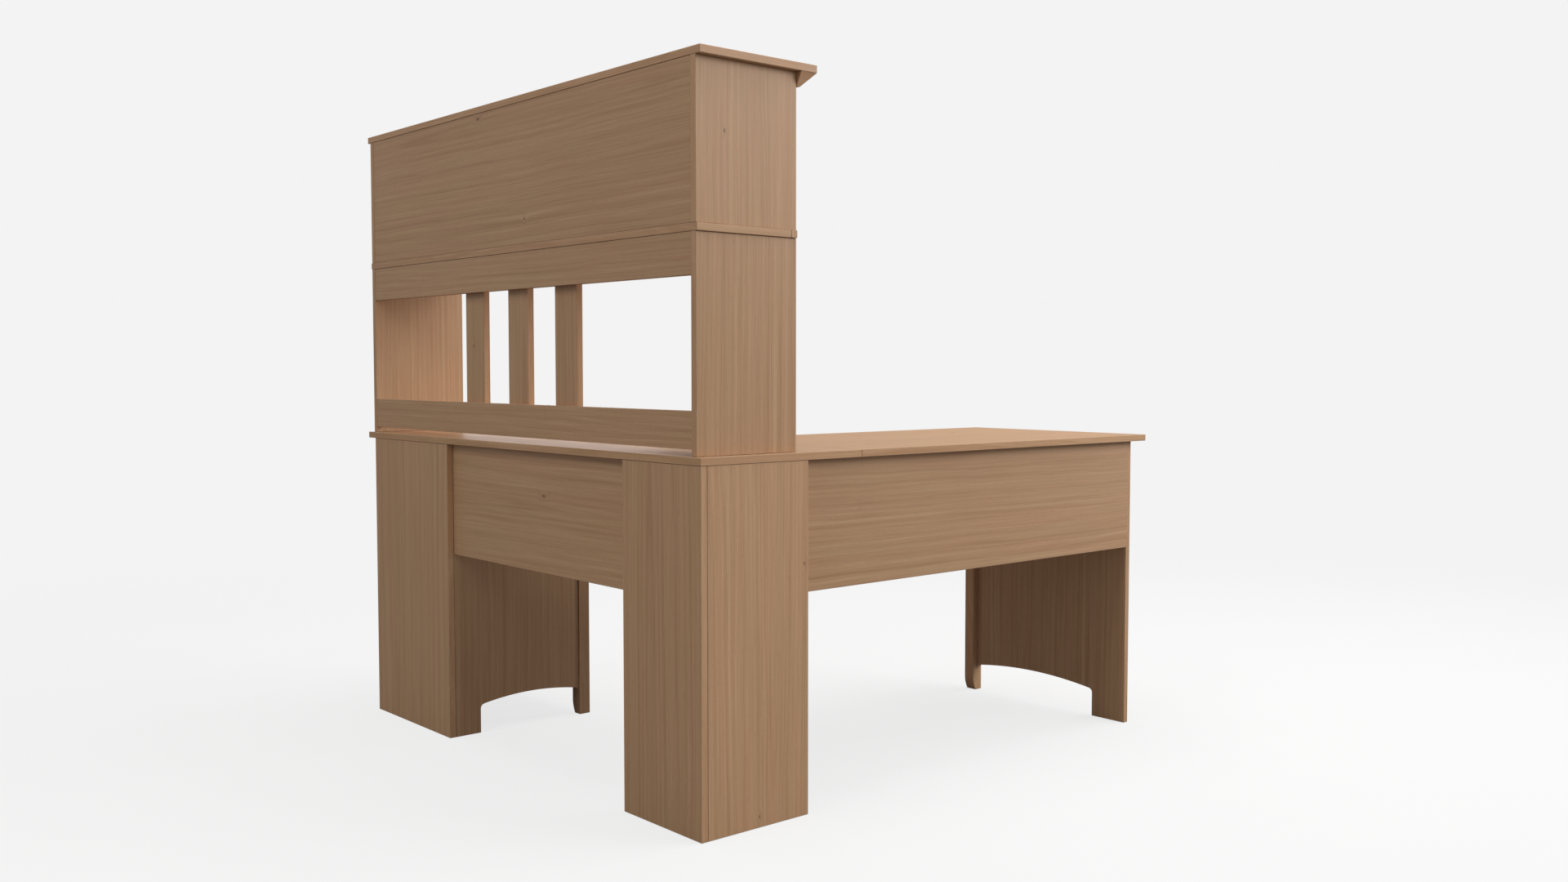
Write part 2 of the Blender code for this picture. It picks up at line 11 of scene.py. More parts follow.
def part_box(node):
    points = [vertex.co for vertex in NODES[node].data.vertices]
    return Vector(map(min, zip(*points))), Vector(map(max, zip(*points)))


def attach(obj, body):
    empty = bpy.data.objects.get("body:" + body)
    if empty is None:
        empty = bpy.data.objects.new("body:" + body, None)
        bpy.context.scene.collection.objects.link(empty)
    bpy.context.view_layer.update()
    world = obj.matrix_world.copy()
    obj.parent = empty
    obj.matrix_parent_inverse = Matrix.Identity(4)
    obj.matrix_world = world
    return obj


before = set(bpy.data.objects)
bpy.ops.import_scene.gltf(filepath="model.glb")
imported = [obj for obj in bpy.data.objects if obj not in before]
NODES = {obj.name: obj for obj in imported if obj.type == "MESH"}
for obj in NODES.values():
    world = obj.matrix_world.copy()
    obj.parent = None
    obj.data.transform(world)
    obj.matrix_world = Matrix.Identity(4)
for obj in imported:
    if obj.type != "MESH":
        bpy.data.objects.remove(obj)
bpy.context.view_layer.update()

AXES = {"x": 0, "y": 1, "z": 2}


# ---------------------------------------------------------------- node helpers
class Net:
    """Thin wrapper that adds shader nodes to a tree and wires them."""

    def __init__(self, tree):
        self.tree = tree

    def add(self, kind, settings=None, **inputs):
        node = self.tree.nodes.new(kind)
        for key, value in (settings or {}).items():
            setattr(node, key, value)
        for key, value in inputs.items():
            self.feed(self.find(node, key), value)
        return node

    @staticmethod
    def find(node, key):
        if key.startswith("i") and key[1:].isdigit():
            return node.inputs[int(key[1:])]
        wanted = key.replace("_", " ").lower()
        for socket in node.inputs:
            if socket.name.lower() == wanted and socket.enabled:
                return socket
        for socket in node.inputs:
            if socket.name.lower() == wanted:
                return socket
        raise KeyError(f"{node.bl_idname} has no input {key}")

    def feed(self, socket, value):
        if isinstance(value, bpy.types.NodeSocket):
            self.tree.links.new(value, socket)
        else:
            socket.default_value = value

    def math(self, operation, a, b=0.0, c=0.0, clamp=False):
        node = self.tree.nodes.new("ShaderNodeMath")
        node.operation = operation
        node.use_clamp = clamp
        for socket, value in zip(node.inputs, (a, b, c)):
            self.feed(socket, value)
        return node.outputs[0]

    def vec(self, operation, a, b=(0.0, 0.0, 0.0), out=0):
        node = self.tree.nodes.new("ShaderNodeVectorMath")
        node.operation = operation
        self.feed(node.inputs[0], a)
        self.feed(node.inputs[1], b)
        return node.outputs[out]

    def noise(self, vector, scale, detail=2.0, rough=0.5):
        node = self.add("ShaderNodeTexNoise", {"noise_dimensions": "3D"}, Vector=vector,
                        Scale=scale, Detail=detail, Roughness=rough)
        return node.outputs[0]

    def remap(self, value, low, high, to_low=0.0, to_high=1.0):
        node = self.add("ShaderNodeMapRange", {"interpolation_type": "SMOOTHSTEP"})
        for socket, number in zip(node.inputs[:5], (value, low, high, to_low, to_high)):
            self.feed(socket, number)
        return node.outputs[0]

    def mix(self, factor, a, b, blend="MIX"):
        node = self.tree.nodes.new("ShaderNodeMix")
        node.data_type = "RGBA"
        node.blend_type = blend
        node.clamp_factor = True
        self.feed(node.inputs[0], factor)
        self.feed(node.inputs[6], a)
        self.feed(node.inputs[7], b)
        return node.outputs[2]

    def ramp(self, value, stops):
        node = self.tree.nodes.new("ShaderNodeValToRGB")
        ramp = node.color_ramp
        while len(ramp.elements) < len(stops):
            ramp.elements.new(0.5)
        for element, (place, colour) in zip(ramp.elements, stops):
            element.position = place
            element.color = (*colour, 1.0)
        self.feed(node.inputs[0], value)
        return node.outputs[0]


# ---------------------------------------------------------------- oak laminate
# tones of the printed figure, from its darkest lines to its palest
OAK_STOPS = (
    (0.16, (0.412, 0.232, 0.121)),
    (0.38, (0.462, 0.268, 0.145)),
    (0.53, (0.492, 0.291, 0.161)),
    (0.70, (0.522, 0.314, 0.176)),
    (0.88, (0.566, 0.352, 0.204)),
)
OLIVE = (0.991, 1.008, 0.982, 1.0)        # the two ends of the slow drift in hue
ROSE = (1.011, 0.992, 0.996, 1.0)
PORE_BROWN = (0.245, 0.148, 0.085, 1.0)
KNOT_HALO = (0.300, 0.175, 0.095, 1.0)
KNOT_CORE = (0.105, 0.055, 0.030, 1.0)
KNOT_STRETCH = 0.62                       # a knot's width over its length along the grain
BAND_TINT = (1.045, 1.030, 1.010, 1.0)    # edge band against the face
BAND_SHIFT = (0.43, 0.117, 0.021)         # moves the figure between a face and its edge band
# lighter arris colour: real wear, and painted highlight where the eased edges catch the light
WEAR_AND_HIGHLIGHT_TONE = (0.640, 0.480, 0.340, 1.0)
# painted shade: a thin dark line along every arris, like the shadow in the gaps between boards
SEAM_SHADE = (0.200, 0.120, 0.070, 1.0)
WEAR_AND_HIGHLIGHT_REACH = 0.0026                       # metres from an arris
SEAM_SHADE_REACH = 0.0011
HEART_DEPTH = 0.035                       # tree's heart below the face, metres
HEART_TILT = 0.022                        # heart's slope along the board
BROAD_RINGS = 62.0                        # changes of tone per metre of radius
NARROW_RINGS = 300.0
# share of each layer in the tone
BROAD_SHARE = 0.95
NARROW_SHARE = 0.66
FIBRE_SHARE = 0.82
STREAK_SHARE = 0.62
CLOUD_SHARE = 0.26
MID_TONE = 0.53


def oak_figure():
    """Node group: flat-sawn oak drawn from board coordinates, x along the grain, y across, z through."""
    tree = bpy.data.node_groups.new("oak_figure", "ShaderNodeTree")
    face = tree.interface
    face.new_socket(name="Board", in_out="INPUT", socket_type="NodeSocketVector")
    face.new_socket(name="Swirl", in_out="INPUT", socket_type="NodeSocketFloat")
    face.new_socket(name="Color", in_out="OUTPUT", socket_type="NodeSocketColor")
    face.new_socket(name="Sheen Change", in_out="OUTPUT", socket_type="NodeSocketFloat")
    face.new_socket(name="Height", in_out="OUTPUT", socket_type="NodeSocketFloat")
    net = Net(tree)
    start = tree.nodes.new("NodeGroupInput")
    end = tree.nodes.new("NodeGroupOutput")
    place, swirl = start.outputs[0], start.outputs[1]

    def stretched(along, across, detail, rough=0.5):
        """Noise with its own rate per metre along the grain and across it."""
        return net.noise(net.vec("MULTIPLY", place, (along, across, across)), 1.0, detail, rough)

    def centred(layer, amount):
        return net.math("MULTIPLY", net.math("SUBTRACT", layer, 0.5), amount)

    drift = centred(stretched(0.75, 2.6, 2.0), 0.050)
    ripple = centred(stretched(5.0, 17.0, 2.0), 0.0085)
    bend = net.math("ADD", net.math("ADD", drift, ripple), net.math("MULTIPLY", swirl, 0.010))
    parts = net.add("ShaderNodeSeparateXYZ", Vector=place)
    cone = net.add("ShaderNodeCombineXYZ", X=net.math("MULTIPLY", parts.outputs[0], HEART_TILT),
                   Y=net.math("ADD", parts.outputs[1], bend),
                   Z=net.math("ADD", net.math("MULTIPLY", parts.outputs[2], 0.6), HEART_DEPTH))
    radius = net.vec("LENGTH", cone.outputs[0], out=1)

    def rings(per_metre, detail, rough):
        node = net.add("ShaderNodeTexNoise", {"noise_dimensions": "1D"},
                       W=net.math("MULTIPLY", radius, per_metre),
                       Scale=1.0, Detail=detail, Roughness=rough)
        return node.outputs[0]

    broad = rings(BROAD_RINGS, 3.0, 0.60)
    narrow = rings(NARROW_RINGS, 2.0, 0.6)
    fibre = stretched(8.0, 560.0, 3.0, 0.70)
    streak = stretched(2.6, 170.0, 2.0, 0.6)
    cloud = stretched(1.8, 7.0, 2.0)
    showing = net.remap(stretched(2.6, 15.0, 2.0), 0.34, 0.66, 0.45, 1.30)
    plain_rings = net.math("MULTIPLY", net.math("SUBTRACT", broad, 0.5), showing)
    level = net.math("MULTIPLY_ADD", plain_rings, BROAD_SHARE, MID_TONE)
    for layer, share in ((narrow, NARROW_SHARE), (fibre, FIBRE_SHARE), (streak, STREAK_SHARE),
                         (cloud, CLOUD_SHARE)):
        level = net.math("ADD", level, centred(layer, share))
    colour = net.ramp(level, OAK_STOPS)
    hue = net.remap(stretched(2.2, 26.0, 2.0), 0.36, 0.64)
    colour = net.mix(1.0, colour, net.mix(hue, OLIVE, ROSE), "MULTIPLY")
    pore_mask = net.remap(stretched(52.0, 1100.0, 1.0), 0.60, 0.74)
    pore_zone = net.remap(narrow, 0.42, 0.60)
    pores = net.math("MULTIPLY", pore_mask, pore_zone)
    colour = net.mix(net.math("MULTIPLY", pores, 0.42), colour, PORE_BROWN)
    sheen = net.math("ADD", net.math("SUBTRACT", broad, 0.5), centred(fibre, 0.6))
    height = net.math("SUBTRACT", net.math("MULTIPLY", fibre, 0.5), pores)
    for socket, value in zip(end.inputs, (colour, sheen, height)):
        net.feed(socket, value)
    return tree


FIGURE = oak_figure()


def edge_nearness(net, spot, low, high, reach):
    """1 on the arrises of the board's box, falling to 0 at reach."""
    middle = (Vector(low) + Vector(high)) / 2
    half = (Vector(high) - Vector(low)) / 2
    away = net.vec("SUBTRACT", tuple(half), net.vec("ABSOLUTE", net.vec("SUBTRACT", spot, tuple(middle))))
    split = net.add("ShaderNodeSeparateXYZ", Vector=away).outputs
    least = net.math("MINIMUM", net.math("MINIMUM", split[0], split[1]), split[2])
    most = net.math("MAXIMUM", net.math("MAXIMUM", split[0], split[1]), split[2])
    total = net.math("ADD", net.math("ADD", split[0], split[1]), split[2])
    second = net.math("SUBTRACT", net.math("SUBTRACT", total, least), most)
    return net.remap(second, 0.0, reach, 1.0, 0.0)


def oak_material(name, slot, grain, seed, tone, rough, specular, knots):
    """Laminated board: printed grain on its faces, edge band on its edges, arrises lightened by wear and
    a painted highlight and edged with a painted shade line.
    """
    low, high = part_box(name)
    size = [high[i] - low[i] for i in range(3)]
    g = AXES[grain]
    rest = [i for i in range(3) if i != g]
    thin, across = sorted(rest, key=lambda i: size[i])
    mat = bpy.data.materials.new(f"{slot}.{name}")
    mat.use_nodes = True
    net = Net(mat.node_tree)
    shader = mat.node_tree.nodes["Principled BSDF"]
    coords = net.add("ShaderNodeTexCoord")
    spot = coords.outputs["Object"]
    where = net.add("ShaderNodeSeparateXYZ", Vector=spot).outputs
    facing = net.add("ShaderNodeSeparateXYZ", Vector=coords.outputs["Normal"]).outputs
    centre = [(low[i] + high[i]) / 2 for i in range(3)]
    own = [net.math("SUBTRACT", where[i], centre[i]) for i in (g, across, thin)]
    plain = net.add("ShaderNodeCombineXYZ", X=own[0], Y=own[1], Z=own[2]).outputs[0]
    turned = net.add("ShaderNodeCombineXYZ", X=own[1], Y=own[2], Z=own[0]).outputs[0]
    at_end = net.remap(net.math("ABSOLUTE", facing[g]), 0.68, 0.72)
    banded = net.remap(net.math("ABSOLUTE", facing[thin]), 0.72, 0.68)
    blend = net.tree.nodes.new("ShaderNodeMix")
    blend.data_type = "VECTOR"
    net.feed(blend.inputs[0], at_end)
    net.feed(blend.inputs[4], plain)
    net.feed(blend.inputs[5], turned)
    draw = random.Random(seed)
    slide = (draw.uniform(-1.08, 1.08), draw.uniform(-0.16, 0.16), 0.0)
    board = net.vec("ADD", blend.outputs[1], slide)
    scale = net.tree.nodes.new("ShaderNodeVectorMath")
    scale.operation = "SCALE"
    scale.inputs[0].default_value = BAND_SHIFT
    net.feed(scale.inputs[3], banded)
    board = net.vec("ADD", board, scale.outputs[0])
    core = swirl = None
    for along, side, radius in knots:
        reach = net.vec("MULTIPLY", net.vec("SUBTRACT", plain, (along, side, 0.0)),
                        (KNOT_STRETCH / radius, 1.0 / radius, 0.0))
        gap = net.vec("LENGTH", reach, out=1)
        dot = net.remap(gap, 0.45, 1.25, 1.0, 0.0)
        ring = net.remap(gap, 0.6, 5.0, 1.0, 0.0)
        core = dot if core is None else net.math("MAXIMUM", core, dot)
        swirl = ring if swirl is None else net.math("MAXIMUM", swirl, ring)
    figure = net.add("ShaderNodeGroup", {"node_tree": FIGURE})
    net.feed(figure.inputs[0], board)
    if swirl is not None:
        net.feed(figure.inputs[1], swirl)
    colour = figure.outputs[0]
    if core is not None:
        on_face = net.math("SUBTRACT", 1.0, banded)
        halo = net.math("MULTIPLY", net.math("MULTIPLY", swirl, 0.16), on_face)
        spotted = net.math("MULTIPLY", net.math("MULTIPLY", core, on_face), 0.64)
        colour = net.mix(halo, colour, KNOT_HALO)
        colour = net.mix(spotted, colour, KNOT_CORE)
    colour = net.mix(banded, colour, net.mix(1.0, colour, BAND_TINT, "MULTIPLY"))
    colour = net.mix(1.0, colour, (tone, tone, tone, 1.0), "MULTIPLY")
    arris = edge_nearness(net, spot, low, high, WEAR_AND_HIGHLIGHT_REACH)
    patchy = net.remap(net.noise(spot, 34.0, 3.0, 0.6), 0.40, 0.66)
    # real wear with a painted highlight: a lighter, patchy band along each arris
    wear_and_highlight = net.math("MULTIPLY", arris, net.math("MULTIPLY_ADD", patchy, 0.65, 0.20))
    colour = net.mix(net.math("MULTIPLY", wear_and_highlight, 0.38), colour, WEAR_AND_HIGHLIGHT_TONE)
    # painted shade: thin dark line along every arris, standing in for the shadow in the gaps between
    # boards
    seam_shade = edge_nearness(net, spot, low, high, SEAM_SHADE_REACH)
    colour = net.mix(net.math("MULTIPLY", seam_shade, 0.55), colour, SEAM_SHADE)
    net.feed(net.find(shader, "Base_Color"), colour)
    handled = net.math("SUBTRACT", net.noise(spot, 2.6, 3.0, 0.55), 0.5)
    dull = net.math("MULTIPLY_ADD", figure.outputs[1], 0.10, rough)
    dull = net.math("MULTIPLY_ADD", handled, 0.12, dull)
    dull = net.math("MULTIPLY_ADD", wear_and_highlight, 0.12, dull, clamp=True)
    net.feed(net.find(shader, "Roughness"), dull)
    shader.inputs["Specular IOR Level"].default_value = specular
    bump = net.add("ShaderNodeBump", Strength=0.16, Distance=0.0005, Height=figure.outputs[2])
    net.feed(net.find(shader, "Normal"), bump.outputs[0])
    return mat


# ---------------------------------------------------------------- other finishes
def new_material(name):
    mat = bpy.data.materials.new(name)
    mat.use_nodes = True
    net = Net(mat.node_tree)
    shader = mat.node_tree.nodes["Principled BSDF"]
    spot = net.add("ShaderNodeTexCoord").outputs["Object"]
    return mat, net, shader, spot


def brushed_metal(name, colour, rough, strokes, patina):
    """Plated steel: fine strokes along one direction, faint cloudiness and darker handling marks."""
    mat, net, shader, spot = new_material(name)
    fine = net.noise(net.vec("MULTIPLY", spot, strokes), 1.0, 3.0, 0.6)
    cloud = net.noise(spot, 38.0, 3.0, 0.55)
    marks = net.remap(net.noise(spot, 210.0, 2.0, 0.5), 0.58, 0.72)
    level = net.math("ADD", net.math("MULTIPLY", fine, 0.5), net.math("MULTIPLY", cloud, 0.5))
    dark = tuple(c * 0.86 for c in colour) + (1.0,)
    light = tuple(min(1.0, c * 1.08) for c in colour) + (1.0,)
    base = net.mix(net.remap(level, 0.35, 0.65), dark, light)
    base = net.mix(net.math("MULTIPLY", marks, patina), base, (0.33, 0.31, 0.28, 1.0))
    net.feed(net.find(shader, "Base_Color"), base)
    shader.inputs["Metallic"].default_value = 1.0
    dull = net.math("MULTIPLY_ADD", net.math("SUBTRACT", fine, 0.5), 0.22, rough)
    dull = net.math("MULTIPLY_ADD", marks, 0.10, dull, clamp=True)
    net.feed(net.find(shader, "Roughness"), dull)
    bump = net.add("ShaderNodeBump", Strength=0.08, Distance=0.0002, Height=fine)
    net.feed(net.find(shader, "Normal"), bump.outputs[0])
    return mat


def zinc_plate(name):
    """Zinc-plated steel with a faint crystal pattern and light scratches."""
    mat, net, shader, spot = new_material(name)
    cells = net.add("ShaderNodeTexVoronoi", Vector=spot, Scale=240.0)
    tint = net.add("ShaderNodeSeparateXYZ", Vector=cells.outputs["Color"]).outputs[0]
    scratch = net.remap(net.noise(net.vec("MULTIPLY", spot, (60.0, 1400.0, 900.0)), 1.0, 1.0), 0.62, 0.70)
    base = net.mix(tint, (0.56, 0.575, 0.60, 1.0), (0.68, 0.69, 0.70, 1.0))
    base = net.mix(net.math("MULTIPLY", scratch, 0.35), base, (0.80, 0.80, 0.80, 1.0))
    net.feed(net.find(shader, "Base_Color"), base)
    shader.inputs["Metallic"].default_value = 1.0
    net.feed(net.find(shader, "Roughness"), net.math("MULTIPLY_ADD", tint, 0.10, 0.33))
    bump = net.add("ShaderNodeBump", Strength=0.10, Distance=0.0002, Height=scratch)
    net.feed(net.find(shader, "Normal"), bump.outputs[0])
    return mat


def melamine(name, seed, along):
    """Pale drawer-side board: cream paper foil with a fine fibre print and a slightly darker edge."""
    low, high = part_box(name)
    mat, net, shader, spot = new_material(f"drawer_board.{name}")
    rate = [420.0, 420.0, 420.0]
    rate[AXES[along]] = 9.0
    start = net.vec("ADD", spot, (seed * 0.71, seed * 0.37, seed * 0.53))
    fibre = net.noise(net.vec("MULTIPLY", start, tuple(rate)), 1.0, 3.0, 0.6)
    cloud = net.noise(start, 5.0, 3.0, 0.5)
    speck = net.remap(net.noise(start, 900.0, 1.0), 0.66, 0.74)
    level = net.math("ADD", net.math("MULTIPLY", fibre, 0.6), net.math("MULTIPLY", cloud, 0.4))
    base = net.mix(net.remap(level, 0.36, 0.66), (0.655, 0.575, 0.455, 1.0), (0.765, 0.700, 0.585, 1.0))
    base = net.mix(net.math("MULTIPLY", speck, 0.25), base, (0.42, 0.33, 0.23, 1.0))
    arris = edge_nearness(net, spot, low, high, 0.0013)
    base = net.mix(net.math("MULTIPLY", arris, 0.35), base, (0.52, 0.42, 0.30, 1.0))
    net.feed(net.find(shader, "Base_Color"), base)
    dull = net.math("MULTIPLY_ADD", net.math("SUBTRACT", cloud, 0.5), 0.20, 0.50)
    net.feed(net.find(shader, "Roughness"), dull)
    shader.inputs["Specular IOR Level"].default_value = 0.35
    bump = net.add("ShaderNodeBump", Strength=0.10, Distance=0.0004, Height=fibre)
    net.feed(net.find(shader, "Normal"), bump.outputs[0])
    return mat


def beech(name, seed):
    """Waxed beech batten, grain along y, with short darker flecks and lighter rubbed arrises."""
    low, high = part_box(name)
    mat, net, shader, spot = new_material(f"runner_beech.{name}")
    start = net.vec("ADD", spot, (seed * 0.31, seed * 0.77, seed * 0.19))
    grain = net.noise(net.vec("MULTIPLY", start, (160.0, 5.0, 160.0)), 1.0, 3.0, 0.6)
    fleck = net.remap(net.noise(net.vec("MULTIPLY", start, (900.0, 85.0, 900.0)), 1.0, 1.0), 0.58, 0.70)
    base = net.mix(net.remap(grain, 0.34, 0.66), (0.500, 0.325, 0.195, 1.0), (0.640, 0.450, 0.290, 1.0))
    base = net.mix(net.math("MULTIPLY", fleck, 0.45), base, (0.300, 0.170, 0.090, 1.0))
    arris = edge_nearness(net, spot, low, high, 0.0018)
    base = net.mix(net.math("MULTIPLY", arris, 0.30), base, (0.74, 0.58, 0.42, 1.0))
    net.feed(net.find(shader, "Base_Color"), base)
    net.feed(net.find(shader, "Roughness"), net.math("MULTIPLY_ADD", grain, 0.25, 0.34))
    bump = net.add("ShaderNodeBump", Strength=0.15, Distance=0.0004, Height=grain)
    net.feed(net.find(shader, "Normal"), bump.outputs[0])
    return mat


def moulded_plastic(name, colour, rough):
    """Moulded plastic with a fine spark-eroded texture and slight colour drift."""
    mat, net, shader, spot = new_material(name)
    grain = net.noise(spot, 1500.0, 2.0, 0.6)
    drift = net.noise(spot, 45.0, 2.0, 0.5)
    dark = tuple(c * 0.93 for c in colour) + (1.0,)
    light = tuple(c * 1.06 for c in colour) + (1.0,)
    net.feed(net.find(shader, "Base_Color"), net.mix(net.remap(drift, 0.35, 0.65), dark, light))
    net.feed(net.find(shader, "Roughness"), net.math("MULTIPLY_ADD", grain, 0.18, rough))
    bump = net.add("ShaderNodeBump", Strength=0.12, Distance=0.0002, Height=grain)
    net.feed(net.find(shader, "Normal"), bump.outputs[0])
    return mat


# ---------------------------------------------------------------- finishes on the frame's boards
GRAIN = {"oak_upright": "z", "oak_long": "x", "oak_return": "y", "oak_worktop": "x"}
GRAIN_OF_NODE = {"return_desktop": "y"}
# knots per board: distance along the grain and across the board from its middle, and radius, in metres;
# the back panel's, corner side's, main modesty's, corner board's and slat's follow the photograph, and
# the others are guessed
KNOTS = {
    "hutch_back_panel": ((0.1326, 0.1482, 0.0046), (-0.0782, -0.1046, 0.0030)),
    "hutch_corner_side_upper": ((0.0212, 0.0583, 0.0030),),
    "main_modesty": ((0.0800, 0.0380, 0.0040),),
    "corner_side_board": ((0.1580, -0.1210, 0.0029), (-0.3490, 0.0009, 0.0024)),
    "main_desktop": ((0.310, -0.090, 0.0050),),
    "return_desktop": ((-0.210, 0.110, 0.0056), (0.360, -0.150, 0.0042)),
    "hutch_outer_door": ((0.110, 0.050, 0.0048),),
    "lower_drawer_front": ((-0.070, 0.095, 0.0052),),
    "hutch_top": ((-0.260, 0.050, 0.0050),),
    "pedestal_outer_side": ((0.120, 0.070, 0.0046),),
    "hutch_slat_3": ((0.0050, 0.0060, 0.0030),),
}
# trims on a board's tone, set by comparison with the photograph: they make up for light that this
# studio doesn't match, and say nothing about the real boards
BOARD_TONE = {
    "corner_side_board": 1.08, "corner_back_board": 1.05, "pedestal_back_board": 1.09,
    "main_modesty": 1.06, "return_modesty": 0.96, "hutch_back_panel": 0.97,
    "hutch_corner_side_lower": 0.97, "return_end_leg": 1.08, "pedestal_inner_leg": 0.88,
    "pedestal_inner_side": 0.95,
}
NODE_SLOT = {name: NODES[name].data.materials[0].name.split(".")[0] for name in NODES}
# brush strokes per metre along x, y and z on each kind of fitting
METAL_STROKES = {
    "hinge": (1500.0, 1500.0, 12.0),
    "handle": (12.0, 1500.0, 1500.0),
    "knob": (900.0, 60.0, 900.0),
}
NICKEL = (0.610, 0.592, 0.560)
TONE_SPREAD = 0.022                       # most that chance moves a board's tone either way
# roughness and specular level of the laminate
TOP_GLOSS = (0.42, 0.22)
BOARD_GLOSS = (0.46, 0.36)


def finish_nodes():
    shared = {}
    for index, name in enumerate(sorted(NODES)):
        slot = NODE_SLOT[name]
        if slot in GRAIN:
            draw = random.Random(f"tone {name}")
            tone = BOARD_TONE.get(name, 1.0) * (1.0 + draw.uniform(-TONE_SPREAD, TONE_SPREAD))
            rough, specular = TOP_GLOSS if slot == "oak_worktop" else BOARD_GLOSS
            grain = GRAIN_OF_NODE.get(name, GRAIN[slot])
            mat = oak_material(name, slot, grain, f"figure {name}", tone, rough, specular,
                               KNOTS.get(name, ()))
        elif slot == "drawer_board":
            mat = melamine(name, index, "x" if name.endswith(("back", "floor")) else "y")
        elif slot == "runner_beech":
            mat = beech(name, index)
        elif slot == "nickel":
            kind = next(k for k in METAL_STROKES if k in name)
            if kind not in shared:
                shared[kind] = brushed_metal(f"nickel.{kind}", NICKEL, 0.27, METAL_STROKES[kind], 0.10)
            mat = shared[kind]
        else:
            mat = ZINC
        NODES[name].data.materials[0] = mat


ZINC = zinc_plate("zinc_steel.plate")
CAP_PLASTIC = moulded_plastic("cap_plastic", (0.520, 0.360, 0.225), 0.42)
CATCH_PLASTIC = moulded_plastic("catch_plastic", (0.165, 0.105, 0.068), 0.45)
FELT = moulded_plastic("felt_grey", (0.300, 0.280, 0.255), 0.85)
finish_nodes()


# ---------------------------------------------------------------- small fixings
def seat(normal, centre):
    """Matrix that stands a shape built along +Z on a surface."""
    turn = Vector((0.0, 0.0, 1.0)).rotation_difference(Vector(normal)).to_matrix().to_4x4()
    return Matrix.Translation(Vector(centre)) @ turn


def spun(work, profile, place, steps=28):
    """Turned shape: profile is (radius, height) from its foot to its top, closed flat at the foot; the
    top ring is returned open.
    """
    rings = []
    for radius, height in profile:
        ring = []
        for step in range(steps):
            angle = 2 * math.pi * step / steps
            point = Vector((radius * math.cos(angle), radius * math.sin(angle), height))
            ring.append(work.verts.new(place @ point))
        rings.append(ring)
    for lower, upper in zip(rings, rings[1:]):
        for step in range(steps):
            after = (step + 1) % steps
            work.faces.new((lower[step], lower[after], upper[after], upper[step]))
    work.faces.new(list(reversed(rings[0])))
    return rings[-1]


def cross_outline(reach, half):
    """Corners of a plus sign, arm by arm."""
    points = []
    for quarter in range(4):
        angle = quarter * math.pi / 2
        for u, v in ((half, -half), (reach, -half), (reach, half)):
            points.append(tuple(Matrix.Rotation(angle, 2) @ Vector((u, v))))
    return points


def screw_head(work, place, radius):
    """Pan head with a rolled rim and a cross recess."""
    flat = radius * 0.48
    profile = ((radius * 0.98, 0.0), (radius, radius * 0.10), (radius * 0.97, radius * 0.26),
               (radius * 0.82, radius * 0.42), (radius * 0.62, flat))
    crest = spun(work, profile, place)
    outline = cross_outline(radius * 0.46, radius * 0.115)
    upper = [work.verts.new(place @ Vector((u, v, flat))) for u, v in outline]
    lower = [work.verts.new(place @ Vector((u * 0.86, v * 0.86, flat * 0.25))) for u, v in outline]
    count = len(outline)
    for step in range(count):
        after = (step + 1) % count
        work.faces.new((upper[after], upper[step], lower[step], lower[after]))
    work.faces.new(lower)
    loops = []
    for ring in (crest, upper):
        loops += [work.edges.get((here, after)) for here, after in zip(ring, ring[1:] + ring[:1])]
    outward = place.to_3x3() @ Vector((0.0, 0.0, 1.0))
    bmesh.ops.triangle_fill(work, edges=loops, use_beauty=True, normal=outward)


def domed_cap(work, place, radius, high):
    """Cover cap: thin rim, shallow dome and a small centre dimple."""
    profile = ((radius, 0.0), (radius, high * 0.40), (radius * 0.95, high * 0.72),
               (radius * 0.78, high * 0.94), (radius * 0.45, high),
               (radius * 0.16, high * 0.98), (radius * 0.10, high * 0.80))
    work.faces.new(spun(work, profile, place))


def soft_dot(work, place, radius, high):
    """Flat pad with a rounded rim."""
    profile = ((radius, 0.0), (radius, high * 0.55), (radius * 0.93, high * 0.88), (radius * 0.80, high))
    work.faces.new(spun(work, profile, place, 24))


def rounded_block(work, low, high, ease):
    """Box with rounded arrises."""
    made = bmesh.ops.create_cube(work, size=1.0)["verts"]
    middle = (Vector(low) + Vector(high)) / 2
    size = Vector(high) - Vector(low)
    for vert in made:
        vert.co = Vector(vert.co[i] * size[i] + middle[i] for i in range(3))
    edges = list({edge for vert in made for edge in vert.link_edges})
    bmesh.ops.bevel(work, geom=edges, offset=ease, segments=3, profile=0.5, affect="EDGES")


def piece(name, body, material, build):
    """Mesh object filled by build(work), riding on one of the frame's bodies."""
    work = bmesh.new()
    build(work)
    bmesh.ops.recalc_face_normals(work, faces=work.faces)
    mesh = bpy.data.meshes.new(name)
    work.to_mesh(mesh)
    work.free()
    mesh.materials.append(material)
    item = bpy.data.objects.new(name, mesh)
    bpy.context.scene.collection.objects.link(item)
    mesh.shade_smooth()
    mesh.set_sharp_from_angle(angle=math.radians(38))
    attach(item, body)


